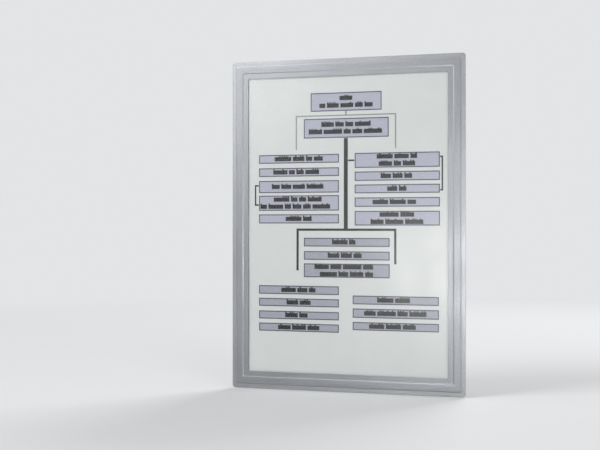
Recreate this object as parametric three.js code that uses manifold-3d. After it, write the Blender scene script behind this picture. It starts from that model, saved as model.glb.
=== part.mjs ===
// Magnetic display frame for one A4 sheet, in millimetres.
// It hangs upright on a steel surface: +Z is up and the front faces -Y. The origin is the
// middle of the plane of the rear magnet strips' faces, which lie on that surface.
// A thin back panel carries the rear strips and the sheet. In front of it swings a cover,
// a clear film with a silver border and four magnet strips of its own, on a folded film hinge
// along the left edge. Depth is counted from the steel surface towards the front.
import * as THREE from "three";
import { mergeVertices } from "three/addons/utils/BufferGeometryUtils.js";
import Module from "manifold-3d";

const wasm = await Module();
wasm.setup();

// The sheet that the frame shows
const sheetWidth = 210;
const sheetHeight = 297;
const sheetThickness = 0.12;

// Widths across one side of the frame, from the sheet's edge to the outside
const sheetClearance = 1;
const coverStripWidth = 8;
const lipWidth = 4;
const backStripWidth = 10;
const borderOverSheet = 4;

// Thicknesses of the layers, from the steel surface to the front
const backStripThickness = 1;
const panelThickness = 0.5;
const closingGap = 0.3;
const coverStripThickness = 0.8;
const windowThickness = 0.3;
const borderThickness = 0.4;
const hingeFilmThickness = 0.2;
const glueLine = 0.05;

// The border stands slightly proud where it covers the magnet strips
const ridgeHeight = 0.15;
const ridgeSlope = 1;

// Edges, corners and small gaps
const panelSetback = 1;
const hingeSetback = 0.3;
const stripEndGap = 0.5;
const seamGap = 0.3;
const coverCornerRadius = 3;
const windowCornerRadius = 1;
const panelCornerRadius = 6;
const hingeEndSetback = 4;

// How finely round corners are faceted, and how near two points count as one
const cornerSegments = 8;
const ridgeSegments = 2;
const pointTolerance = 1e-4;

// The whole frame
const sideWidth = sheetClearance + coverStripWidth + lipWidth;
const frameWidth = sheetWidth + 2 * sideWidth;
const frameHeight = sheetHeight + 2 * sideWidth;

// Depth of each layer's rear face
const panelDepth = backStripThickness + glueLine;
const panelFront = panelDepth + panelThickness;
const sheetDepth = panelFront + glueLine;
const coverStripDepth = panelFront + closingGap;
const windowDepth = coverStripDepth + coverStripThickness + glueLine;
const borderDepth = windowDepth + windowThickness + glueLine;
const borderFront = borderDepth + borderThickness;

// Rectangles as left, right, bottom and top
const frameRect = {
  left: -frameWidth / 2,
  right: frameWidth / 2,
  bottom: -frameHeight / 2,
  top: frameHeight / 2,
};
const sheetRect = {
  left: -sheetWidth / 2,
  right: sheetWidth / 2,
  bottom: -sheetHeight / 2,
  top: sheetHeight / 2,
};
const coverRect = { ...frameRect, left: frameRect.left + hingeSetback };
const openingRect = inset(sheetRect, borderOverSheet);
const panelRect = { ...inset(frameRect, panelSetback), left: coverRect.left };
const stripOuterRect = inset(frameRect, lipWidth);
const stripInnerRect = inset(stripOuterRect, coverStripWidth);
const backStripOuterRect = inset(stripOuterRect, (coverStripWidth - backStripWidth) / 2);

// A rectangle moved in by the same distance on its four sides.
function inset(rect, distance) {
  return {
    left: rect.left + distance,
    right: rect.right - distance,
    bottom: rect.bottom + distance,
    top: rect.top - distance,
  };
}

// A rectangle's outline with round corners, drawn anticlockwise on Outline, a Shape or a Path.
function roundedOutline(rect, radius, Outline = THREE.Shape) {
  const outline = new Outline();
  outline.moveTo(rect.left + radius, rect.bottom);
  outline.absarc(rect.right - radius, rect.bottom + radius, radius, -Math.PI / 2, 0);
  outline.absarc(rect.right - radius, rect.top - radius, radius, 0, Math.PI / 2);
  outline.absarc(rect.left + radius, rect.top - radius, radius, Math.PI / 2, Math.PI);
  outline.absarc(rect.left + radius, rect.bottom + radius, radius, Math.PI, 1.5 * Math.PI);
  return outline;
}

// A shape pushed straight out of its plane.
function extrusion(shape, length, bevel = {}) {
  return new THREE.ExtrudeGeometry(shape, {
    depth: length,
    curveSegments: cornerSegments,
    bevelEnabled: false,
    ...bevel,
  });
}

// A flat layer cut to a shape drawn from the front, from its rear face's depth forwards.
function layer(shape, depth, thickness, bevel) {
  return extrusion(shape, thickness, bevel).translate(0, 0, depth).rotateX(Math.PI / 2);
}

// A geometry as a manifold-3d solid, and back again.
function solidOf(geometry) {
  const bare = new THREE.BufferGeometry();
  bare.setAttribute("position", geometry.getAttribute("position"));
  if (geometry.index) bare.setIndex(geometry.index);
  const merged = mergeVertices(bare, pointTolerance);
  return new wasm.Manifold(
    new wasm.Mesh({
      numProp: 3,
      vertProperties: merged.getAttribute("position").array,
      triVerts: new Uint32Array(merged.index.array),
    }),
  );
}

function geometryOf(solid) {
  const mesh = solid.getMesh();
  const shared = new THREE.BufferGeometry();
  shared.setAttribute("position", new THREE.BufferAttribute(mesh.vertProperties, 3));
  shared.setIndex(new THREE.BufferAttribute(mesh.triVerts, 1));
  const geometry = shared.toNonIndexed();
  geometry.computeVertexNormals();
  return geometry;
}

// The silver border: a die-cut foil ring with a low ridge over the magnet strips.
function borderGeometry() {
  const foil = roundedOutline(coverRect, coverCornerRadius);
  foil.holes.push(roundedOutline(openingRect, windowCornerRadius, THREE.Path));
  const flat = layer(foil, borderDepth, borderThickness);

  // The ridge's sides slope both ways from the foil's face, and its lower half is in the foil.
  const ridge = roundedOutline(stripOuterRect, coverCornerRadius);
  ridge.holes.push(roundedOutline(stripInnerRect, windowCornerRadius, THREE.Path));
  const raised = layer(ridge, borderFront, 0, {
    bevelEnabled: true,
    bevelThickness: ridgeHeight,
    bevelSize: ridgeSlope,
    bevelOffset: -ridgeSlope,
    bevelSegments: ridgeSegments,
  });
  return geometryOf(solidOf(flat).add(solidOf(raised)));
}

// The film hinge: a strip folded round the left edge, one leg welded to the back panel's
// front and the other to the window film's rear. The profile is drawn across and in depth.
function hingeGeometry() {
  const foldRadius = (windowDepth - glueLine - sheetDepth) / 2;
  const innerRadius = foldRadius - hingeFilmThickness;
  const foldX = frameRect.left + foldRadius;
  const foldDepth = sheetDepth + foldRadius;
  const legEnd = stripOuterRect.left - seamGap;

  const profile = new THREE.Shape();
  profile.moveTo(legEnd, foldDepth - foldRadius);
  profile.lineTo(legEnd, foldDepth - innerRadius);
  profile.lineTo(foldX, foldDepth - innerRadius);
  profile.absarc(foldX, foldDepth, innerRadius, 1.5 * Math.PI, Math.PI / 2, true);
  profile.lineTo(legEnd, foldDepth + innerRadius);
  profile.lineTo(legEnd, foldDepth + foldRadius);
  profile.lineTo(foldX, foldDepth + foldRadius);
  profile.absarc(foldX, foldDepth, foldRadius, Math.PI / 2, 1.5 * Math.PI, false);

  const length = frameHeight - 2 * (coverCornerRadius + hingeEndSetback);
  return extrusion(profile, length).translate(0, 0, -length / 2).rotateX(Math.PI);
}

// Materials, with the colours of the photographed frame
const silverFoil = new THREE.MeshStandardMaterial({ color: 0xa9acb0, roughness: 0.38, metalness: 0.6 });
const clearFilm = new THREE.MeshStandardMaterial({
  color: 0xf2f5f5,
  roughness: 0.2,
  metalness: 0,
  transparent: true,
  opacity: 0.2,
});
const milkyFilm = new THREE.MeshStandardMaterial({
  color: 0xdfe3e4,
  roughness: 0.4,
  metalness: 0,
  transparent: true,
  opacity: 0.7,
});
const magnetRubber = new THREE.MeshStandardMaterial({ color: 0x2f2c2a, roughness: 0.75, metalness: 0 });
const paper = new THREE.MeshStandardMaterial({ color: 0xd6d9da, roughness: 0.9, metalness: 0 });

function piece(name, geometry, material) {
  const mesh = new THREE.Mesh(geometry, material);
  mesh.name = name;
  return mesh;
}

// Four magnet strips that follow a rectangle. The top and bottom strips run the full width,
// and the side strips stand between them with a small gap at each end.
function magnetStrips(prefix, outer, width, depth, thickness) {
  const strips = new THREE.Group();
  const across = outer.right - outer.left;
  const upright = outer.top - outer.bottom - 2 * (width + stripEndGap);
  const middleX = (outer.left + outer.right) / 2;
  const middleZ = (outer.bottom + outer.top) / 2;
  const places = {
    top: [across, width, middleX, outer.top - width / 2],
    bottom: [across, width, middleX, outer.bottom + width / 2],
    left: [width, upright, outer.left + width / 2, middleZ],
    right: [width, upright, outer.right - width / 2, middleZ],
  };
  for (const [side, [sizeX, sizeZ, x, z]] of Object.entries(places)) {
    const bar = new THREE.BoxGeometry(sizeX, thickness, sizeZ);
    const strip = piece(`${prefix}_${side}`, bar, magnetRubber);
    strip.position.set(x, -(depth + thickness / 2), z);
    strips.add(strip);
  }
  return strips;
}

// The back body: rear magnet strips, panel, sheet and hinge
const back = new THREE.Group();
back.add(magnetStrips("back_magnet", backStripOuterRect, backStripWidth, 0, backStripThickness));
const panelShape = roundedOutline(panelRect, panelCornerRadius);
back.add(piece("back_panel", layer(panelShape, panelDepth, panelThickness), milkyFilm));
const sheetShape = new THREE.Shape([
  new THREE.Vector2(sheetRect.left, sheetRect.bottom),
  new THREE.Vector2(sheetRect.right, sheetRect.bottom),
  new THREE.Vector2(sheetRect.right, sheetRect.top),
  new THREE.Vector2(sheetRect.left, sheetRect.top),
]);
back.add(piece("insert_sheet", layer(sheetShape, sheetDepth, sheetThickness), paper));
back.add(piece("hinge_film", hingeGeometry(), clearFilm));

// The cover body, which swings on the hinge
const cover = new THREE.Group();
const windowShape = roundedOutline(coverRect, coverCornerRadius);
cover.add(piece("window_film", layer(windowShape, windowDepth, windowThickness), clearFilm));
cover.add(piece("border_foil", borderGeometry(), silverFoil));
const coverStripPlace = [stripOuterRect, coverStripWidth, coverStripDepth, coverStripThickness];
cover.add(magnetStrips("cover_magnet", ...coverStripPlace));

const frame = new THREE.Group();
frame.add(back, cover);

export default frame;
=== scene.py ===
"""Looks of an A4 magnetic display frame: silver border, clear window, printed sheet and magnets.

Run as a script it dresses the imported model. Lengths in the settings are metres, and a depth is
counted from the steel surface at the back towards the front, which faces -Y.
"""

import math

import bpy
import numpy as np
from bpy.props import FloatProperty, FloatVectorProperty, IntProperty, PointerProperty
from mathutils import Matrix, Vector


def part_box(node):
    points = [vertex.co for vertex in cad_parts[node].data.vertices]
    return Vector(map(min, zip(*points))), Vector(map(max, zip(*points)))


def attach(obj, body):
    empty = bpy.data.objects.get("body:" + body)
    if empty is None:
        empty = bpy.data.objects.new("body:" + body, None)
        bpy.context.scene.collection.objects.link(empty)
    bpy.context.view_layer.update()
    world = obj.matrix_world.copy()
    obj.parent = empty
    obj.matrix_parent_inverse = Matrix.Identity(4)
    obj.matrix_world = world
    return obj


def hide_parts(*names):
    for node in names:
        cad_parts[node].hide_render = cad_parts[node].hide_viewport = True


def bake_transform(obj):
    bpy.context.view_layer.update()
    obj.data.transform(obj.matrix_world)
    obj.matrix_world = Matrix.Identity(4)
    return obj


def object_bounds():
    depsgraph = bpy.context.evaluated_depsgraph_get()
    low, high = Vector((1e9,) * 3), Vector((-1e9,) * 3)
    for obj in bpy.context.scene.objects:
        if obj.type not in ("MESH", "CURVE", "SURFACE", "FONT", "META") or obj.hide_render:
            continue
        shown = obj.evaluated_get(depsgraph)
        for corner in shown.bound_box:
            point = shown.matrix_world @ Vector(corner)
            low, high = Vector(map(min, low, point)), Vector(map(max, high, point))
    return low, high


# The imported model, and the box that it fills before anything is added
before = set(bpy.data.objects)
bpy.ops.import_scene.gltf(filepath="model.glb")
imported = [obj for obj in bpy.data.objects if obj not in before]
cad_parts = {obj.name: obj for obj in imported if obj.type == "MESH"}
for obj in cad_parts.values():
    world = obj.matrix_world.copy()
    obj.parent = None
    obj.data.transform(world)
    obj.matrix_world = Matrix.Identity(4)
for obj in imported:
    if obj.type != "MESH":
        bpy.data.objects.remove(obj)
CAD_BOX = [list(corner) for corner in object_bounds()]

bl_info = {
    "name": "Magnetic Display Frame",
    "version": (1, 0, 0),
    "blender": (4, 5, 0),
    "location": "View3D > Sidebar > Display Frame",
    "description": "Dresses an A4 magnetic display frame with films, magnets and a printed chart",
    "category": "Object",
}

MM = 0.001

# Faces that meet at a larger angle keep a sharp edge between them
SHARP_ANGLE = math.radians(40)

# How many points the grids have: along and across a surface, on its sides, round its corners
# and round its edges
CORNER_ROWS = 9
BORDER_ACROSS, BORDER_EDGE, BORDER_CORNER, BORDER_SIDE = 61, 5, 13, 44
WINDOW_ROWS, WINDOW_COLUMNS = 92, 70
PANEL_ROWS, PANEL_COLUMNS = 40, 30
STRIP_ALONG, STRIP_EDGE, STRIP_SIDE = 60, 4, 3
HINGE_FOLD, HINGE_LEG, HINGE_ALONG = 17, 6, 80
SHEET_ROWS, SHEET_COLUMNS = 120, 86
FLOOR_ROWS = 9

# Wavelengths of the slow waves in the film and in the sheet, in metres. At the frame's middle,
# the film's wave across has gone through a share of its wavelength.
FILM_WAVE_ACROSS, FILM_WAVE_ALONG, FILM_WAVE_SLANT = 0.095, 0.14, 0.21
FILM_WAVE_START = 0.2
SHEET_WAVE_ACROSS, SHEET_WAVE_SLANT, SHEET_WAVE_ALONG = 0.17, 0.34, 0.23

# Radius of the corners of a magnet strip's section, in edge radii. It is over 1, so that
# corners are left where the section has shrunk at the strip's ends.
STRIP_CORNER = 1.25

# Length and width of the foil's streaks, and length of the lines that the die leaves along
# the magnet rubber
STREAK_LENGTH, STREAK_WIDTH = 45 * MM, 1.5 * MM
DIE_LINE_LENGTH = 40 * MM

# The chart in millimetres, measured from the frame's upper left corner. Each column of boxes
# has a left and right edge, and each box a top, a bottom and the widths of its lines of words.
# Each line of the chart has a left, a right, a top and a bottom.
UPPER_COLUMNS = (
    (82, 154, ((33, 51, (13, 54)),)),
    (75, 161, ((58, 77, (50, 76)),)),
    (
        28,
        111,
        (
            (92.5, 101, (50,)),
            (105.5, 114, (53,)),
            (118, 130, (56,)),
            (132.5, 147.5, (52, 80)),
            (151, 160, (27,)),
        ),
    ),
    (
        127,
        211,
        (
            (92, 106.5, (40, 36)),
            (110, 119, (32,)),
            (122.5, 131, (19,)),
            (135, 144, (48,)),
            (148, 162, (34, 52)),
        ),
    ),
)
LOWER_COLUMNS = (
    (75, 162, ((174, 182.5, (29,)), (187, 195.5, (38,)), (199, 212.5, (65, 54)))),
    (
        28,
        111,
        (
            (221, 229.5, (36,)),
            (233.5, 241.5, (25,)),
            (246, 254, (28,)),
            (258, 266, (43,)),
        ),
    ),
    (125, 210, ((229.5, 238, (36,)), (242, 251, (62,)), (255, 263, (52,)))),
)
CHART_LINES = (
    (116, 120, 77.3, 164.9),
    (120.4, 126.6, 98.2, 99.8),
    (23.5, 25, 122, 142.5),
    (25, 27.7, 122, 123.5),
    (25, 27.7, 141, 142.5),
    (212.6, 214.1, 96, 129),
    (211.3, 212.6, 96, 97.5),
    (211.3, 212.6, 127.5, 129),
    (67.3, 168.7, 164.9, 167.2),
    (67.3, 69.6, 167.2, 206),
    (166.4, 168.7, 167.2, 199),
)
FAINT_LINES = (
    (117.1, 118.9, 51, 54.6),
    (66.5, 168.5, 54.6, 55.9),
    (66.5, 67.9, 55.9, 88),
    (167.1, 168.5, 55.9, 88),
)

# Words in millimetres: from one line of words to the next, the shortest and longest word, the
# space after a word, and the pitch, width and height of the raised stretches on it. The last
# number is the share of those stretches that are drawn.
LINE_PITCH = 7.0
SHORTEST_WORD, LONGEST_WORD, WORD_SPACE = 6.0, 19.0, 1.6
TALL_PITCH, TALL_WIDTH, TALL_RISE, TALL_SHARE = 2.4, 1.5, 1.0, 0.5

# Longest step of a printed layer's grid in millimetres, so that it follows the sheet's waves
PRINT_STEP = 6.0

# The floor in metres: it lies just under the frame, and fades into the background between two
# distances from the frame's middle
FLOOR_GAP, FLOOR_THICKNESS, FLOOR_NEAR, FLOOR_FAR = 0.5 * MM, 20 * MM, 0.35, 1.6

# Lamps: name, place, width and height in metres, power in watts, and whether the lamp lights
# the floor too
LAMPS = (
    ("key_lamp", (-1.35, -1.5, 1.25), 1.3, 1.1, 23.0, True),
    ("fill_lamp", (1.2, -1.5, 0.7), 0.9, 0.9, 8.0, True),
    ("upper_left_lamp", (-0.78, -1.4, 0.42), 0.5, 0.5, 2.7, False),
    ("low_right_lamp", (-0.16, -1.45, -0.08), 0.36, 0.14, 2.5, False),
    ("rear_lamp", (0.35, 1.7, 1.2), 1.2, 1.0, 20.0, True),
)


def linear(hex_colour):
    """A sRGB hex colour as linear red, green, blue and alpha."""
    values = np.array([int(hex_colour[i : i + 2], 16) for i in (1, 3, 5)]) / 255
    low, high = values / 12.92, ((values + 0.055) / 1.055) ** 2.4
    return (*(float(v) for v in np.where(values <= 0.04045, low, high)), 1.0)


def length(name, description, default):
    """A setting for a length in metres."""
    return FloatProperty(
        name=name,
        description=description,
        default=default,
        min=0,
        precision=5,
        unit="LENGTH",
        subtype="DISTANCE",
    )


def colour(name, description, hex_colour):
    """A setting for a colour, given as sRGB hex."""
    return FloatVectorProperty(
        name=name,
        description=description,
        default=linear(hex_colour),
        size=4,
        min=0,
        max=1,
        subtype="COLOR",
    )


class BorderSettings(bpy.types.PropertyGroup):
    """The silver foil border of the cover."""

    over_sheet: length("Over sheet", "How far the border covers the sheet's edges", 4 * MM)
    ridge_height: length("Ridge height", "How far the ridge stands off the foil's face", 0.15 * MM)
    ridge_start: length("Ridge start", "From the outer edge to the foot of the ridge", 4 * MM)
    ridge_end: length("Ridge end", "From the outer edge to the ridge's inner foot", 12 * MM)
    ridge_slope: length("Ridge slope", "Width of each sloping side of the ridge", 1 * MM)
    crown: length("Crown", "How far the ridge's top falls from its middle", 0.03 * MM)
    edge_radius: length("Edge radius", "Rounding of the cut edges", 0.12 * MM)
    outer_corner: length("Outer corner", "Radius of the outer corners", 3 * MM)
    inner_corner: length("Inner corner", "Radius of the window's corners", 1 * MM)
    foil: colour("Foil", "Colour of the silver foil", "#87898C")


class FilmSettings(bpy.types.PropertyGroup):
    """The clear window film and the film hinge."""

    wave: length("Wave", "Height of the film's slow waves inside the window", 0.1 * MM)
    wave_fade: length("Wave fade", "Distance from the border over which the waves grow", 18 * MM)
    corner: length("Corner", "Radius of the film's corners", 3 * MM)
    hinge_thickness: length("Hinge thickness", "Thickness of the hinge's film", 0.2 * MM)
    tint: colour("Tint", "Colour that the film lets through", "#FDFDFD")
    haze: colour("Haze", "Colour of the film's faint haze", "#E4E9EC")


class PanelSettings(bpy.types.PropertyGroup):
    """The milky back panel."""

    corner: length("Corner", "Radius of the panel's corners", 6 * MM)
    film: colour("Film", "Colour of the milky film", "#C6CBCE")


class MagnetSettings(bpy.types.PropertyGroup):
    """The magnet strips of the cover and of the back."""

    edge_radius: length("Edge radius", "Rounding along the strips", 0.2 * MM)
    groove_pitch: length("Groove pitch", "Distance between the drawn lines of extrusion", 1.6 * MM)
    rubber: colour("Rubber", "Colour of the magnet rubber", "#2E2A28")


class SheetSettings(bpy.types.PropertyGroup):
    """The printed sheet and its chart."""

    bulge: length("Bulge", "How far the sheet's slow waves stand off the panel", 0.6 * MM)
    ink_gap: length("Ink gap", "From the paper to the middle of a layer of print", 0.02 * MM)
    ink_layer: length("Ink layer", "Thickness of the print", 0.02 * MM)
    outline_width: length("Outline width", "Width of the lines round the boxes", 1.0 * MM)
    word_height: length("Word height", "Height of the bars that stand for words", 4.2 * MM)
    word_seed: IntProperty(name="Word seed", description="Picks the word lengths", default=7)
    paper: colour("Paper", "Colour of the paper", "#D1D4D3")
    upper_fill: colour("Upper fill", "Colour inside the chart's upper boxes", "#ADAFBE")
    lower_fill: colour("Lower fill", "Colour inside the chart's lower boxes", "#9DA0AB")
    box_outline: colour("Box outline", "Colour of the lines round the boxes", "#454756")
    line: colour("Line", "Colour of the connecting lines", "#161917")
    faint_line: colour("Faint line", "Colour of the faint bracket", "#8F948C")
    word: colour("Word", "Colour of the word bars", "#020305")


class StageSettings(bpy.types.PropertyGroup):
    """Camera, floor and lights."""

    distance: length("Distance", "From the camera to the frame's middle", 1.26)
    shift_right: length("Shift right", "How far the frame stands right of the view's middle", 0.045)
    focal_length: FloatProperty(
        name="Focal length", description="Camera lens in millimetres", default=78.0, min=1
    )
    azimuth: FloatProperty(
        name="Azimuth",
        description="Angle of the camera to the right of the frame's front",
        default=math.radians(17.5),
        subtype="ANGLE",
        unit="ROTATION",
    )
    fill: FloatProperty(
        name="Fill", description="Strength of the light from all around", default=0.45, min=0
    )
    floor_size: length("Floor size", "Side of the square floor", 8.0)
    floor: colour("Floor", "Colour of the floor", "#F0F1F2")
    background: colour("Background", "Colour behind the floor", "#E3E4E6")


class DisplayFrameSettings(bpy.types.PropertyGroup):
    """All settings of the display frame."""

    border: PointerProperty(type=BorderSettings)
    film: PointerProperty(type=FilmSettings)
    panel: PointerProperty(type=PanelSettings)
    magnets: PointerProperty(type=MagnetSettings)
    sheet: PointerProperty(type=SheetSettings)
    stage: PointerProperty(type=StageSettings)


# Meshes from whole arrays


def grid_faces(rows, columns, close_rows=False, close_columns=False):
    """Corner numbers of the quads of a grid whose points are numbered row by row."""
    row = np.arange(rows if close_rows else rows - 1)[:, None]
    column = np.arange(columns if close_columns else columns - 1)[None, :]
    next_row, next_column = (row + 1) % rows, (column + 1) % columns
    corners = [
        row * columns + column,
        row * columns + next_column,
        next_row * columns + next_column,
        next_row * columns + column,
    ]
    return np.stack(np.broadcast_arrays(*corners), axis=-1).reshape(-1, 4)


def signed_volume(points, quads):
    """The volume between quads and their middle, which is positive if they face outwards.

    It is a sixth of the sum, over the two triangles of each quad, of the box product of
    their corners.
    """
    corners = (points - points.mean(axis=0))[quads]
    first, second, third, fourth = (corners[:, number] for number in range(4))
    halves = np.cross(first, second) * third + np.cross(first, third) * fourth
    return halves.sum() / 6


def make_piece(name, points, quads, material, caps=(), along=None):
    """A new object from points, quads and end caps, smooth except across sharper edges.

    All faces are turned round together where the quads face inwards. Where along is given,
    it is kept as the piece's attribute of that name, a place for each point in metres.
    """
    points = points.reshape(-1, 3)
    faces = quads.tolist() + [cap.tolist() for cap in caps]
    if signed_volume(points, quads) < 0:
        faces = [face[::-1] for face in faces]
    mesh = bpy.data.meshes.new(name)
    mesh.from_pydata(points.tolist(), [], faces)
    if along is not None:
        kept = mesh.attributes.new("along", "FLOAT_VECTOR", "POINT")
        kept.data.foreach_set("vector", along.astype(np.float32).ravel())
    mesh.shade_smooth()
    mesh.set_sharp_from_angle(angle=SHARP_ANGLE)
    mesh.materials.append(material)
    piece = bpy.data.objects.new(name, mesh)
    bpy.context.scene.collection.objects.link(piece)
    return piece


def dress(piece, body, slot, *nodes):
    """Makes a piece ride on a body and stand for its CAD nodes. The slot is not used."""
    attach(piece, body)
    if nodes:
        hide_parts(*nodes)


def span(node):
    """Left, right, bottom, top, rear depth and front depth of a CAD node."""
    low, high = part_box(node)
    return low.x, high.x, low.z, high.z, -high.y, -low.y


def smooth_step(value):
    """0 below 0, 1 above 1, and three squares less two cubes between."""
    t = np.clip(value, 0, 1)
    return t * t * (3 - 2 * t)


def inside(value, low, high, fade):
    """1 well inside low to high, falling smoothly to 0 at both ends over the fade."""
    return smooth_step((value - low) / fade) * smooth_step((high - value) / fade)


def rounded_rows(left, right, bottom, top, corner, rows, columns):
    """X and Z of a grid that fills a rectangle with round corners.

    Each row is level. Its half width is the rectangle's, less what the corner's circle takes:
    the radius less the root of its square less the square of the height into the corner.
    Rows stand closer together in the corners.
    """
    turn = np.linspace(0, math.pi / 2, CORNER_ROWS)
    low_rows = bottom + corner * (1 - np.sin(turn[::-1]))
    high_rows = top - corner * (1 - np.sin(turn))
    middle_rows = np.linspace(bottom + corner, top - corner, rows)[1:-1]
    z = np.concatenate([low_rows, middle_rows, high_rows])
    into = np.maximum(np.abs(z - (bottom + top) / 2) - ((top - bottom) / 2 - corner), 0)
    taken = corner - np.sqrt(np.maximum(corner**2 - into**2, 0))
    half = (right - left) / 2 - taken
    x = (left + right) / 2 + half[:, None] * np.linspace(-1, 1, columns)[None, :]
    return x, np.broadcast_to(z[:, None], x.shape)


def slab_grid(x, z, front, back):
    """Points and quads of closed layers between two depths, joined round their edge.

    The front and back surfaces are functions of the same two parameters, the last two axes
    of the arrays, and the rim joins the outermost points of both. Any axis before those
    holds separate layers.
    """
    shape = np.broadcast_shapes(x.shape, z.shape, np.shape(front), np.shape(back))
    rows, columns = shape[-2:]
    count = rows * columns
    x, z, front, back = (
        np.broadcast_to(value, shape).reshape(-1, count) for value in (x, z, front, back)
    )
    sides = [np.stack([x, -depth, z], axis=-1) for depth in (front, back)]
    points = np.concatenate(sides, axis=1)
    faces = grid_faces(rows, columns)
    numbers = np.arange(count).reshape(rows, columns)
    painted_rim_highlight = np.concatenate(
        [numbers[0, :-1], numbers[:-1, -1], numbers[-1, :0:-1], numbers[:0:-1, 0]]
    )
    after = np.roll(painted_rim_highlight, -1)
    rim_faces = np.stack([painted_rim_highlight, painted_rim_highlight + count, after + count, after], axis=-1)
    one = np.concatenate([faces, faces[:, ::-1] + count, rim_faces])
    steps = np.arange(len(points))[:, None, None] * 2 * count
    return points.reshape(-1, 3), (one + steps).reshape(-1, 4)


def ring_points(left, right, bottom, top, radius, arc_steps, side_steps):
    """Two coordinates round a rectangle with round corners, for each place of a profile.

    The sides and the radius are arrays along the profile. The centre of a corner's arc lies
    in from both sides by the radius. Points on a side divide the line between two
    neighbouring arcs' ends evenly.
    """
    left, right, bottom, top, radius = np.broadcast_arrays(left, right, bottom, top, radius)
    sign_a = np.array([1, -1, -1, 1])[:, None, None]
    sign_b = np.array([1, 1, -1, -1])[:, None, None]
    angle = (np.arange(4)[:, None] + np.linspace(0, 1, arc_steps)) * math.pi / 2
    reach_a, reach_b = (right - left) / 2 - radius, (top - bottom) / 2 - radius
    arc_a = (left + right) / 2 + sign_a * reach_a + radius * np.cos(angle)[..., None]
    arc_b = (bottom + top) / 2 + sign_b * reach_b + radius * np.sin(angle)[..., None]
    share = np.linspace(0, 1, side_steps + 2)[1:-1, None]

    def with_sides(arc):
        here, there = arc[:, -1:, :], np.roll(arc, -1, axis=0)[:, :1, :]
        whole = np.concatenate([arc, here + (there - here) * share], axis=1)
        return whole.reshape(-1, whole.shape[-1])

    return with_sides(arc_a), with_sides(arc_b)


# Materials


def add(tree, kind, inputs=None, **settings):
    """Adds a node with its settings, and gives each named input a value or a link."""
    made = tree.nodes.new(kind)
    for name, value in settings.items():
        setattr(made, name, value)
    for name, value in (inputs or {}).items():
        if isinstance(value, bpy.types.NodeSocket):
            tree.links.new(value, made.inputs[name])
        else:
            made.inputs[name].default_value = value
    return made


def new_material(name):
    """An empty node material and its tree."""
    material = bpy.data.materials.new(name)
    material.use_nodes = True
    material.node_tree.nodes.clear()
    return material, material.node_tree


def show(tree, shader):
    """Links a shader to the material's output."""
    add(tree, "ShaderNodeOutputMaterial", {"Surface": shader})


def noise(tree, size, detail, place=None, finer=(1, 1, 1)):
    """Noise with features of a size in metres, made finer along each axis by a factor.

    It is placed by the object's coordinates, or by an attribute's.
    """
    if place is None:
        place = add(tree, "ShaderNodeTexCoord").outputs["Object"]
    mapped = add(tree, "ShaderNodeMapping", {"Vector": place, "Scale": finer})
    inputs = {"Vector": mapped.outputs["Vector"], "Scale": 1 / size, "Detail": detail}
    return add(tree, "ShaderNodeTexNoise", inputs).outputs["Fac"]


def along_piece(tree):
    """The piece's own places along and across it."""
    return add(tree, "ShaderNodeAttribute", attribute_name="along").outputs["Vector"]


def between(tree, factor, low, high, from_low=0.3, from_high=0.7):
    """A number that goes from low to high as a pattern goes from from_low to from_high."""
    inputs = {
        "Value": factor,
        "From Min": from_low,
        "From Max": from_high,
        "To Min": low,
        "To Max": high,
    }
    return add(tree, "ShaderNodeMapRange", inputs).outputs["Result"]


def shade(tree, factor, base, darkest, lightest):
    """A colour times a grey that goes from darkest to lightest with a pattern."""
    grey = between(tree, factor, darkest, lightest)
    mixed = add(tree, "ShaderNodeVectorMath", {0: tuple(base)[:3]}, operation="SCALE")
    tree.links.new(grey, mixed.inputs["Scale"])
    return mixed.outputs["Vector"]


def bump(tree, height, metres, normal=None):
    """A bump whose full height is that many metres."""
    inputs = {"Height": height, "Distance": metres, "Strength": 1.0}
    if normal is not None:
        inputs["Normal"] = normal
    return add(tree, "ShaderNodeBump", inputs).outputs["Normal"]


def silver_foil_material(settings):
    """Vacuum-metallised polypropylene foil, calendered to a satin face.

    The metal gives soft broad reflections that darken and lighten slowly along the border.
    The calendering leaves a fine mottle and streaks along each side, and the laminating long
    shallow waves. A lighter rim along the outer edge is painted highlight. The mottle is drawn
    coarser than the real grain, which is too fine to show.
    """
    material, tree = new_material("metallised polypropylene foil")
    mottle = noise(tree, 1.5 * MM, detail=3)
    drift = noise(tree, 60 * MM, detail=1)
    finer = (1, 1, STREAK_LENGTH / STREAK_WIDTH)
    streaks = noise(tree, STREAK_LENGTH, detail=3, place=along_piece(tree), finer=finer)
    waves = bump(tree, drift, 0.25 * MM)
    lines = bump(tree, streaks, 0.02 * MM, waves)
    across = add(tree, "ShaderNodeSeparateXYZ", {"Vector": along_piece(tree)}).outputs["Z"]
    # Painted highlight: the foil's colour is up to 12% lighter over the outer few millimetres of
    # the border, fading out by 6 mm in
    painted_rim_highlight = between(tree, across, 1.12, 1.0, from_low=2.5 * MM, from_high=6 * MM)
    streaked = shade(tree, streaks, settings.foil, 0.93, 1.06)
    mottled = shade(tree, mottle, linear("#FFFFFF"), 0.95, 1.04)
    streaked_with_rim_highlight = add(tree, "ShaderNodeVectorMath", {0: streaked, "Scale": painted_rim_highlight}, operation="SCALE")
    base = add(
        tree,
        "ShaderNodeVectorMath",
        {0: streaked_with_rim_highlight.outputs["Vector"], 1: mottled},
        operation="MULTIPLY",
    )
    shader = add(
        tree,
        "ShaderNodeBsdfPrincipled",
        {
            "Base Color": base.outputs["Vector"],
            "Metallic": 0.8,
            "Roughness": between(tree, drift, 0.29, 0.36),
            "Normal": bump(tree, mottle, 0.008 * MM, lines),
        },
    )
    show(tree, shader.outputs["BSDF"])
    return material


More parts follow.
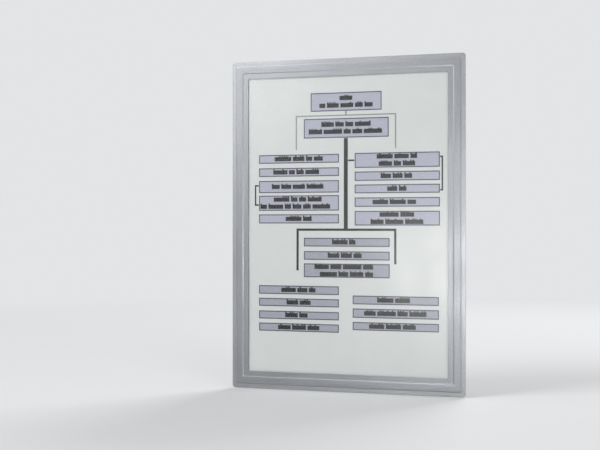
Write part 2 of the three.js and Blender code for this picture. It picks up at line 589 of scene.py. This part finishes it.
def clear_film_material(name, settings, haze_share):
    """Anti-glare polyester film, cast clear with a finely matted face.

    Most light goes straight through. The matted face spreads reflections of lamps into a
    soft veil that grows where it is seen at a slant, and a trace of haze lifts the blacks
    behind it. The mirrored share is 2.6% straight on and rises with the fifth power of one
    less the cosine, the same on both faces.
    """
    material, tree = new_material(name)
    drift = noise(tree, 70 * MM, detail=1)
    smears = noise(tree, 22 * MM, detail=3)
    normal = bump(tree, drift, 0.3 * MM)
    clear = add(tree, "ShaderNodeBsdfTransparent", {"Color": tuple(settings.tint)})
    haze = add(tree, "ShaderNodeBsdfDiffuse", {"Color": tuple(settings.haze)})
    hazy = add(
        tree,
        "ShaderNodeMixShader",
        {"Fac": haze_share, 1: clear.outputs[0], 2: haze.outputs[0]},
    )
    roughness = between(tree, smears, 0.2, 0.27)
    gloss = add(tree, "ShaderNodeBsdfGlossy", {"Roughness": roughness, "Normal": normal})
    slant = add(tree, "ShaderNodeLayerWeight", {"Blend": 0.5}).outputs["Facing"]
    fifth = add(tree, "ShaderNodeMath", {0: slant, 1: 5.0}, operation="POWER").outputs[0]
    mirrored = between(tree, fifth, 0.026, 1.0, from_low=0.0, from_high=1.0)
    veiled = add(
        tree,
        "ShaderNodeMixShader",
        {"Fac": mirrored, 1: hazy.outputs[0], 2: gloss.outputs[0]},
    )
    show(tree, veiled.outputs[0])
    return material


def milky_film_material(settings):
    """Natural polypropylene sheet, extruded with a fine sand texture.

    It is nearly white with a cool cast, and lets what lies against it show as a faint
    shadow, because a share of the light goes through. The sand texture keeps its shine low,
    and is drawn coarser than the real one, which is too fine to show.
    """
    material, tree = new_material("natural polypropylene sheet")
    sand = noise(tree, 0.9 * MM, detail=2)
    cloud = noise(tree, 45 * MM, detail=2)
    shader = add(
        tree,
        "ShaderNodeBsdfPrincipled",
        {
            "Base Color": shade(tree, cloud, settings.film, 0.97, 1.02),
            "Roughness": 0.42,
            "Normal": bump(tree, sand, 0.012 * MM),
        },
    )
    light_through = 0.18
    through = add(tree, "ShaderNodeBsdfTransparent", {"Color": tuple(settings.film)})
    mixed = add(
        tree,
        "ShaderNodeMixShader",
        {"Fac": 1 - light_through, 1: through.outputs[0], 2: shader.outputs[0]},
    )
    show(tree, mixed.outputs[0])
    return material


def magnet_rubber_material(settings):
    """Ferrite powder in nitrile rubber, extruded in a strip.

    The ferrite makes it a dull brown black. Fine lines run along it from the die, and a
    dusting of lighter powder breaks up the colour. Both are drawn coarser than the real
    ones, which are too fine to show.
    """
    material, tree = new_material("extruded ferrite rubber")
    finer = (1, DIE_LINE_LENGTH / settings.groove_pitch, 1)
    lines = noise(tree, DIE_LINE_LENGTH, detail=3, place=along_piece(tree), finer=finer)
    powder = noise(tree, 1.4 * MM, detail=3)
    shader = add(
        tree,
        "ShaderNodeBsdfPrincipled",
        {
            "Base Color": shade(tree, powder, settings.rubber, 0.82, 1.22),
            "Roughness": between(tree, lines, 0.52, 0.72),
            "Normal": bump(tree, lines, 0.05 * MM),
        },
    )
    show(tree, shader.outputs["BSDF"])
    return material


def paper_material(settings):
    """Uncoated office paper, made from short fibres on a wire.

    The fibres, about a millimetre long, give a faint cloudiness when seen close, and no
    shine.
    """
    material, tree = new_material("uncoated office paper")
    fibres = noise(tree, 1.1 * MM, detail=4)
    cloud = noise(tree, 14 * MM, detail=3)
    shader = add(
        tree,
        "ShaderNodeBsdfPrincipled",
        {
            "Base Color": shade(tree, cloud, settings.paper, 0.985, 1.01),
            "Roughness": 0.9,
            "Specular IOR Level": 0.25,
            "Normal": bump(tree, fibres, 0.015 * MM),
        },
    )
    show(tree, shader.outputs["BSDF"])
    return material


def ink_material(name, ink):
    """Toner fused into paper: a flat colour with a faint unevenness and a slight sheen."""
    material, tree = new_material(name)
    spread = noise(tree, 2.2 * MM, detail=3)
    shader = add(
        tree,
        "ShaderNodeBsdfPrincipled",
        {
            "Base Color": shade(tree, spread, ink, 0.94, 1.05),
            "Roughness": 0.65,
            "Specular IOR Level": 0.2,
        },
    )
    show(tree, shader.outputs["BSDF"])
    return material


# Pieces


def window_edges(border):
    """Left, right, bottom and top of the border's window, in from the sheet's edges."""
    left, right, bottom, top = span("insert_sheet")[:4]
    covered = border.over_sheet
    return left + covered, right - covered, bottom + covered, top - covered


def make_border(settings):
    """The silver border: a closed profile carried round a rectangle with round corners.

    Across the border, the front rises by the ridge's height through a smooth step over each
    slope, and the ridge's top falls by the crown as the square of the distance from its
    middle. Quarter circles round the cut edges. The rectangle shrinks evenly from the
    border's outside to its window as the profile crosses it. The piece's own places wind the
    way round the border onto a circle of the same length, so that the two ends meet. Their
    third number is the way in from the outside.
    """
    left, right, bottom, top, back, front = span("border_foil")
    window_left, window_right, _, _ = window_edges(settings)
    width, radius = right - window_right, settings.edge_radius
    start, end, slope = settings.ridge_start, settings.ridge_end, settings.ridge_slope
    face = front - settings.ridge_height

    across = np.linspace(radius, width - radius, BORDER_ACROSS)
    on_ridge = inside(across, start, end, slope)
    off_middle = (2 * across - start - end) / (end - start)
    ridge = on_ridge * (settings.ridge_height - settings.crown * off_middle**2)

    turn = np.linspace(0, math.pi / 2, BORDER_EDGE)[:-1]
    fall = radius * (1 - np.sin(turn))
    reach = radius * (1 - np.cos(turn))
    rear_inset = np.array([width, width - radius, radius, 0])
    rear_depth = np.array([back + radius, back, back, back + radius])
    inset = np.concatenate([reach, across, (width - reach)[::-1], rear_inset])
    depth = np.concatenate([face - fall, face + ridge, (face - fall)[::-1], rear_depth])

    hinge_side = left + inset * (window_left - left) / width
    corner = np.interp(inset, [0, width], [settings.outer_corner, settings.inner_corner])
    sides = hinge_side, right - inset, bottom + inset, top - inset
    x, z = ring_points(*sides, corner, BORDER_CORNER, BORDER_SIDE)
    points = np.stack([x, np.broadcast_to(-depth, x.shape), z], axis=-1)
    faces = grid_faces(*x.shape, close_rows=True, close_columns=True)
    steps = np.hypot(np.roll(x[:, 0], -1) - x[:, 0], np.roll(z[:, 0], -1) - z[:, 0])
    girth = steps.sum()
    angle = 2 * math.pi * (np.cumsum(steps) - steps)[:, None] / girth
    circle = np.stack([np.cos(angle), np.sin(angle)]) * girth / (2 * math.pi)
    along = np.stack(np.broadcast_arrays(*circle, inset), axis=-1)
    material = silver_foil_material(settings)
    border = make_piece("border_foil_embossed", points, faces, material, along=along)
    dress(border, "cover", "silver_foil", "border_foil")


def make_window(settings, border):
    """The clear film: a rectangle with round corners, flat under the border.

    Inside the window both faces move by the wave height times the product of two sines, one
    across and one along a slant, faded in from the border's edge.
    """
    left, right, bottom, top, back, front = span("window_film")
    sides = left, right, bottom, top
    x, z = rounded_rows(*sides, settings.corner, WINDOW_ROWS, WINDOW_COLUMNS)
    window_left, window_right, window_bottom, window_top = window_edges(border)
    free = inside(x, window_left, window_right, settings.wave_fade)
    free = free * inside(z, window_bottom, window_top, settings.wave_fade)
    across = np.sin(2 * math.pi * (x / FILM_WAVE_ACROSS + FILM_WAVE_START))
    slant = np.sin(2 * math.pi * (z / FILM_WAVE_ALONG + x / FILM_WAVE_SLANT))
    wave = settings.wave * free * across * slant
    points, faces = slab_grid(x, z, front + wave, back + wave)
    material = clear_film_material("anti-glare polyester film", settings, haze_share=0.002)
    window = make_piece("window_film_clear", points, faces, material)
    dress(window, "cover", "clear_film", "window_film")


def make_panel(settings):
    """The back panel: a flat rectangle with round corners."""
    left, right, bottom, top, back, front = span("back_panel")
    sides = left, right, bottom, top
    x, z = rounded_rows(*sides, settings.corner, PANEL_ROWS, PANEL_COLUMNS)
    points, faces = slab_grid(x, z, front, back)
    panel = make_piece("back_panel_milky", points, faces, milky_film_material(settings))
    dress(panel, "back", "milky_film", "back_panel")


def make_strip(node, body, settings, material):
    """A magnet strip: a rectangle with round corners carried along a straight line.

    Towards each end the section shrinks by the edge radius along a quarter circle, and a
    flat cap closes it. The strip's own places run along it, and across it plus its depth so
    that its sides carry lines too.
    """
    left, right, bottom, top, back, front = span(node)
    lies = right - left > top - bottom
    near, far, low, high = (left, right, bottom, top) if lies else (bottom, top, left, right)
    radius = settings.edge_radius
    turn = np.linspace(0, math.pi / 2, STRIP_EDGE)
    start, shrink = near + radius * (1 - np.cos(turn)), radius * (1 - np.sin(turn))
    middle = np.linspace(near + radius, far - radius, STRIP_ALONG)[1:-1]
    stations = np.concatenate([start, middle, near + far - start[::-1]])
    inset = np.concatenate([shrink, np.zeros(len(middle)), shrink[::-1]])
    sides = low + inset, high - inset, back + inset, front - inset
    across, depth = ring_points(*sides, STRIP_CORNER * radius - inset, STRIP_EDGE, STRIP_SIDE)
    run = np.broadcast_to(stations, across.shape)
    points = np.stack([run if lies else across, -depth, across if lies else run], axis=-1)
    numbers = np.arange(across.size).reshape(across.shape)
    caps = [numbers[:, 0], numbers[::-1, -1]]
    own = np.stack([run, across + depth, np.full(run.shape, low)], axis=-1)
    faces = grid_faces(*across.shape, close_rows=True)
    strip = make_piece(f"{node}_strip", points, faces, material, caps=caps, along=own)
    dress(strip, body, "magnet_rubber", node)


def make_strips(settings):
    """The four magnet strips of each body."""
    material = magnet_rubber_material(settings)
    for body in ("back", "cover"):
        for side in ("top", "bottom", "left", "right"):
            make_strip(f"{body}_magnet_{side}", body, settings, material)


def make_hinge(settings):
    """The film hinge: the outline of a strip folded in half, carried up the left edge.

    The outline runs along one leg, round the fold's outer half circle and back along the
    other leg, then the same way back inside by the film's thickness.
    """
    left, right, bottom, top, back, front = span("hinge_film")
    outer = (front - back) / 2
    inner = outer - settings.hinge_thickness
    turn = np.linspace(1.5 * math.pi, 0.5 * math.pi, HINGE_FOLD)
    legs = np.linspace(right, left + outer, HINGE_LEG)[:-1]
    middle = back + outer

    def fold(radius):
        across = np.concatenate([legs, left + outer + radius * np.cos(turn), legs[::-1]])
        rear, fore = np.full(len(legs), middle - radius), np.full(len(legs), middle + radius)
        return across, np.concatenate([rear, middle + radius * np.sin(turn), fore])

    (outer_x, outer_depth), (inner_x, inner_depth) = fold(outer), fold(inner)
    across = np.concatenate([outer_x, inner_x[::-1]])[:, None]
    depth = np.concatenate([outer_depth, inner_depth[::-1]])[:, None]
    height = np.linspace(bottom, top, HINGE_ALONG)[None, :]
    x, depth, z = np.broadcast_arrays(across, depth, height)
    points = np.stack([x, -depth, z], axis=-1)
    numbers = np.arange(x.size).reshape(x.shape)
    caps = [numbers[:, 0], numbers[::-1, -1]]
    faces = grid_faces(*x.shape, close_rows=True)
    material = clear_film_material("folded polyester hinge film", settings, haze_share=0.1)
    hinge = make_piece("hinge_film_folded", points, faces, material, caps=caps)
    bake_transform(hinge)
    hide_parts("hinge_film")


def sheet_face(x, z, settings):
    """Depth of the sheet's face: the CAD sheet's front plus slow waves from 0 to the bulge.

    The waves are half the bulge times one plus the product of a sine along a slant and a
    cosine up the sheet.
    """
    front = span("insert_sheet")[5]
    slant = np.sin(2 * math.pi * (x / SHEET_WAVE_ACROSS + z / SHEET_WAVE_SLANT))
    return front + settings.bulge * (1 + slant * np.cos(2 * math.pi * z / SHEET_WAVE_ALONG)) / 2


def make_sheet(settings):
    """The paper: a rectangle that stands off the panel in slow waves."""
    left, right, bottom, top, back, front = span("insert_sheet")
    columns, rows = np.linspace(left, right, SHEET_COLUMNS), np.linspace(bottom, top, SHEET_ROWS)
    x, z = np.meshgrid(columns, rows)
    face = sheet_face(x, z, settings)
    points, faces = slab_grid(x, z, face, face - (front - back))
    sheet = make_piece("insert_sheet_paper", points, faces, paper_material(settings))
    dress(sheet, "back", "paper", "insert_sheet")


def print_rectangles(name, rectangles, ink, height, settings):
    """Prints rectangles, given as left, right, top and bottom on the chart.

    Each is a thin closed layer that follows the sheet's face at a height above it.
    """
    chart_left, chart_top = CAD_BOX[0][0], CAD_BOX[1][2]
    left, right, top, bottom = np.array(rectangles, dtype=float).T
    columns = 2 + int((right - left).max() / PRINT_STEP)
    rows = 2 + int((bottom - top).max() / PRINT_STEP)
    left, right, top, bottom = (side[:, None, None] * MM for side in (left, right, top, bottom))
    x = chart_left + left + (right - left) * np.linspace(0, 1, columns)
    z = chart_top - bottom + (bottom - top) * np.linspace(0, 1, rows)[:, None]
    x, z = np.broadcast_arrays(x, z)
    face = sheet_face(x, z, settings) + height
    half = settings.ink_layer / 2
    points, faces = slab_grid(x, z, face + half, face - half)
    material = ink_material("fused toner of the " + name.removeprefix("print_"), ink)
    layer = make_piece(name, points, faces, material)
    dress(layer, "back", "paper")


def outline(box, width):
    """Four bars round a box, side bars between the top and bottom ones."""
    left, right, top, bottom = box
    return [
        (left, right, top, top + width),
        (left, right, bottom - width, bottom),
        (left, left + width, top + width, bottom - width),
        (right - width, right, top + width, bottom - width),
    ]


def word_bars(middle, level, width, height, chance):
    """Bars that fill a line of a width, as words of chance lengths with spaces between.

    Some bars carry narrow raised stretches, as lines of print do from far off.
    """
    bars, place = [], middle - width / 2
    while place < middle + width / 2 - SHORTEST_WORD:
        word = min(chance.uniform(SHORTEST_WORD, LONGEST_WORD), middle + width / 2 - place)
        bars.append((place, place + word, level - height / 2, level + height / 2))
        for tall in np.arange(place, place + word - TALL_WIDTH, TALL_PITCH):
            if chance.random() < TALL_SHARE:
                rise = level - height / 2 - TALL_RISE
                bars.append((tall, tall + TALL_WIDTH, rise, level - height / 2))
        place += word + WORD_SPACE
    return bars


def make_chart(settings):
    """The printed chart: boxes, their outlines, connecting lines and bars for words.

    A box's lines of words are set about its middle, one line pitch apart.
    """
    upper, lower = (
        [
            ((left, right, top, bottom), widths)
            for left, right, column in columns
            for top, bottom, widths in column
        ]
        for columns in (UPPER_COLUMNS, LOWER_COLUMNS)
    )
    boxes = upper + lower
    edge = settings.outline_width / MM
    upper_fills, lower_fills = (
        [
            (left + edge, right - edge, top + edge, bottom - edge)
            for (left, right, top, bottom), _ in part
        ]
        for part in (upper, lower)
    )
    outlines = [bar for box, _ in boxes for bar in outline(box, edge)]
    chance = np.random.default_rng(settings.word_seed)
    word_height = settings.word_height / MM
    words = []
    for (left, right, top, bottom), widths in boxes:
        for number, width in enumerate(widths):
            level = (top + bottom) / 2 + (number - (len(widths) - 1) / 2) * LINE_PITCH
            words += word_bars((left + right) / 2, level, width, word_height, chance)
    # The middle of the words' layer, so that it lies half a layer clear of the fills
    over_fills = settings.ink_gap + 1.5 * settings.ink_layer
    for name, rectangles, ink, height in (
        ("print_upper_fills", upper_fills, settings.upper_fill, settings.ink_gap),
        ("print_lower_fills", lower_fills, settings.lower_fill, settings.ink_gap),
        ("print_box_outlines", outlines, settings.box_outline, settings.ink_gap),
        ("print_lines", CHART_LINES, settings.line, settings.ink_gap),
        ("print_faint_lines", FAINT_LINES, settings.faint_line, settings.ink_gap),
        ("print_words", words, settings.word, over_fills),
    ):
        print_rectangles(name, rectangles, ink, height, settings)


# Stage


def seen_rays(tree):
    """1 for the rays that see, straight or by way of gloss or glass, and 0 for the rest."""
    ray = add(tree, "ShaderNodeLightPath").outputs
    mirrored = add(
        tree,
        "ShaderNodeMath",
        {0: ray["Is Glossy Ray"], 1: ray["Is Transmission Ray"]},
        operation="MAXIMUM",
    )
    seen = add(
        tree,
        "ShaderNodeMath",
        {0: ray["Is Camera Ray"], 1: mirrored.outputs[0]},
        operation="MAXIMUM",
    )
    return seen.outputs[0]


def surroundings(settings):
    """The world: the background's colour where it is seen, and a fill where it only lights."""
    world = bpy.data.worlds.new("plain pale surroundings")
    world.use_nodes = True
    tree = world.node_tree
    tree.nodes.clear()
    fill = add(tree, "ShaderNodeBackground", {"Strength": settings.fill})
    shown = add(tree, "ShaderNodeBackground", {"Color": tuple(settings.background)})
    mixed = add(
        tree,
        "ShaderNodeMixShader",
        {"Fac": seen_rays(tree), 1: fill.outputs[0], 2: shown.outputs[0]},
    )
    add(tree, "ShaderNodeOutputWorld", {"Surface": mixed.outputs[0]})
    bpy.context.scene.world = world


def floor_material(settings):
    """Matt painted board, rolled on: a plain pale face with no shine.

    Far from the frame it takes the background's own light, so that no horizon shows.
    """
    material, tree = new_material("matt painted board")
    board = add(
        tree,
        "ShaderNodeBsdfPrincipled",
        {"Base Color": tuple(settings.floor), "Roughness": 0.9, "Specular IOR Level": 0.1},
    )
    place = add(tree, "ShaderNodeTexCoord").outputs["Object"]
    reach = add(tree, "ShaderNodeVectorMath", {0: place}, operation="LENGTH")
    away = between(tree, reach.outputs["Value"], 0.0, 1.0, FLOOR_NEAR, FLOOR_FAR)
    faded = add(tree, "ShaderNodeMath", {0: away, 1: seen_rays(tree)}, operation="MULTIPLY")
    glow = add(tree, "ShaderNodeEmission", {"Color": tuple(settings.background)})
    mixed = add(
        tree,
        "ShaderNodeMixShader",
        {"Fac": faded.outputs[0], 1: board.outputs[0], 2: glow.outputs[0]},
    )
    show(tree, mixed.outputs[0])
    return material


def make_floor(settings):
    """The floor: a thin level board under the frame's lower edge."""
    half = settings.floor_size / 2
    top = CAD_BOX[0][2] - FLOOR_GAP
    steps = np.linspace(-half, half, FLOOR_ROWS)
    points, faces = slab_grid(*np.meshgrid(steps, steps), top, top - FLOOR_THICKNESS)
    # Laid down: the slab's depth becomes the height
    points = points[:, [0, 2, 1]] * (1, 1, -1)
    floor = make_piece("stage_floor", points, faces, floor_material(settings))
    return floor


def aimed(name, data, place, target):
    """An object that looks from a place to a target."""
    made = bpy.data.objects.new(name, data)
    made.location = place
    made.rotation_euler = (Vector(target) - Vector(place)).to_track_quat("-Z", "Y").to_euler()
    bpy.context.scene.collection.objects.link(made)
    return made


def make_lamps(floor):
    """Soft rectangular lamps, each aimed at the frame's middle.

    The two small ones in front brighten stretches of the border that mirror them. They leave
    the floor out of their light, so that it stays even.
    """
    all_but_floor = bpy.data.collections.new("all but the floor")
    all_but_floor.objects.link(floor)
    all_but_floor.collection_objects[0].light_linking.link_state = "EXCLUDE"
    for name, place, width, height, power, lights_floor in LAMPS:
        lamp = bpy.data.lights.new(name, "AREA")
        lamp.shape = "RECTANGLE"
        lamp.size, lamp.size_y = width, height
        lamp.energy = power
        placed = aimed(name, lamp, place, (0, 0, 0))
        if not lights_floor:
            placed.light_linking.receiver_collection = all_but_floor


def make_camera(settings):
    """The camera: level with the frame's middle, to the right of its front."""
    turn = settings.azimuth
    right = Vector((math.cos(turn), math.sin(turn), 0))
    outwards = Vector((math.sin(turn), -math.cos(turn), 0))
    data = bpy.data.cameras.new("camera")
    data.lens = settings.focal_length
    place = settings.distance * outwards
    bpy.context.scene.camera = aimed("camera", data, place, -settings.shift_right * right)


# Operators, panel and main


def settings_of(context):
    """The frame's settings in the scene."""
    return context.scene.display_frame


class DISPLAY_FRAME_OT_stage(bpy.types.Operator):
    """Make the floor, the surroundings, the lamps and the camera"""

    bl_idname = "display_frame.stage"
    bl_label = "Stage"

    def execute(self, context):
        stage = settings_of(context).stage
        surroundings(stage)
        make_lamps(make_floor(stage))
        make_camera(stage)
        context.scene.view_settings.view_transform = "Standard"
        return {"FINISHED"}


class DISPLAY_FRAME_OT_border(bpy.types.Operator):
    """Make the embossed silver border of the cover"""

    bl_idname = "display_frame.border"
    bl_label = "Border"

    def execute(self, context):
        make_border(settings_of(context).border)
        return {"FINISHED"}


class DISPLAY_FRAME_OT_window(bpy.types.Operator):
    """Make the clear film of the window"""

    bl_idname = "display_frame.window"
    bl_label = "Window film"

    def execute(self, context):
        settings = settings_of(context)
        make_window(settings.film, settings.border)
        return {"FINISHED"}


class DISPLAY_FRAME_OT_hinge(bpy.types.Operator):
    """Make the folded film hinge on the left"""

    bl_idname = "display_frame.hinge"
    bl_label = "Film hinge"

    def execute(self, context):
        make_hinge(settings_of(context).film)
        return {"FINISHED"}


class DISPLAY_FRAME_OT_magnets(bpy.types.Operator):
    """Make the magnet strips of the cover and of the back"""

    bl_idname = "display_frame.magnets"
    bl_label = "Magnet strips"

    def execute(self, context):
        make_strips(settings_of(context).magnets)
        return {"FINISHED"}


class DISPLAY_FRAME_OT_panel(bpy.types.Operator):
    """Make the milky back panel"""

    bl_idname = "display_frame.panel"
    bl_label = "Back panel"

    def execute(self, context):
        make_panel(settings_of(context).panel)
        return {"FINISHED"}


class DISPLAY_FRAME_OT_sheet(bpy.types.Operator):
    """Make the sheet of paper and the chart printed on it"""

    bl_idname = "display_frame.sheet"
    bl_label = "Printed sheet"

    def execute(self, context):
        sheet = settings_of(context).sheet
        make_sheet(sheet)
        make_chart(sheet)
        return {"FINISHED"}


class DISPLAY_FRAME_PT_sidebar(bpy.types.Panel):
    """Lists what makes the display frame, each with its settings"""

    bl_idname = "DISPLAY_FRAME_PT_sidebar"
    bl_label = "Display Frame"
    bl_space_type = "VIEW_3D"
    bl_region_type = "UI"
    bl_category = "Display Frame"

    def draw(self, context):
        for operator in OPERATORS:
            self.layout.operator(operator.bl_idname)
        settings = settings_of(context)
        for name in DisplayFrameSettings.__annotations__:
            box = self.layout.box()
            group = getattr(settings, name)
            box.label(text=name.capitalize())
            for setting in type(group).__annotations__:
                box.prop(group, setting)


GROUPS = (
    BorderSettings,
    FilmSettings,
    PanelSettings,
    MagnetSettings,
    SheetSettings,
    StageSettings,
    DisplayFrameSettings,
)
OPERATORS = (
    DISPLAY_FRAME_OT_stage,
    DISPLAY_FRAME_OT_border,
    DISPLAY_FRAME_OT_window,
    DISPLAY_FRAME_OT_hinge,
    DISPLAY_FRAME_OT_magnets,
    DISPLAY_FRAME_OT_panel,
    DISPLAY_FRAME_OT_sheet,
)
CLASSES = (*GROUPS, *OPERATORS, DISPLAY_FRAME_PT_sidebar)


def register():
    """Registers the classes and gives the scene its settings."""
    for each in CLASSES:
        bpy.utils.register_class(each)
    bpy.types.Scene.display_frame = PointerProperty(type=DisplayFrameSettings)


def unregister():
    """Takes the settings and the classes away again."""
    del bpy.types.Scene.display_frame
    for each in reversed(CLASSES):
        bpy.utils.unregister_class(each)


def main():
    """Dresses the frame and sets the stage."""
    register()
    bpy.ops.display_frame.stage()
    bpy.ops.display_frame.border()
    bpy.ops.display_frame.window()
    bpy.ops.display_frame.hinge()
    bpy.ops.display_frame.magnets()
    bpy.ops.display_frame.panel()
    bpy.ops.display_frame.sheet()


if __name__ == "__main__":
    main()
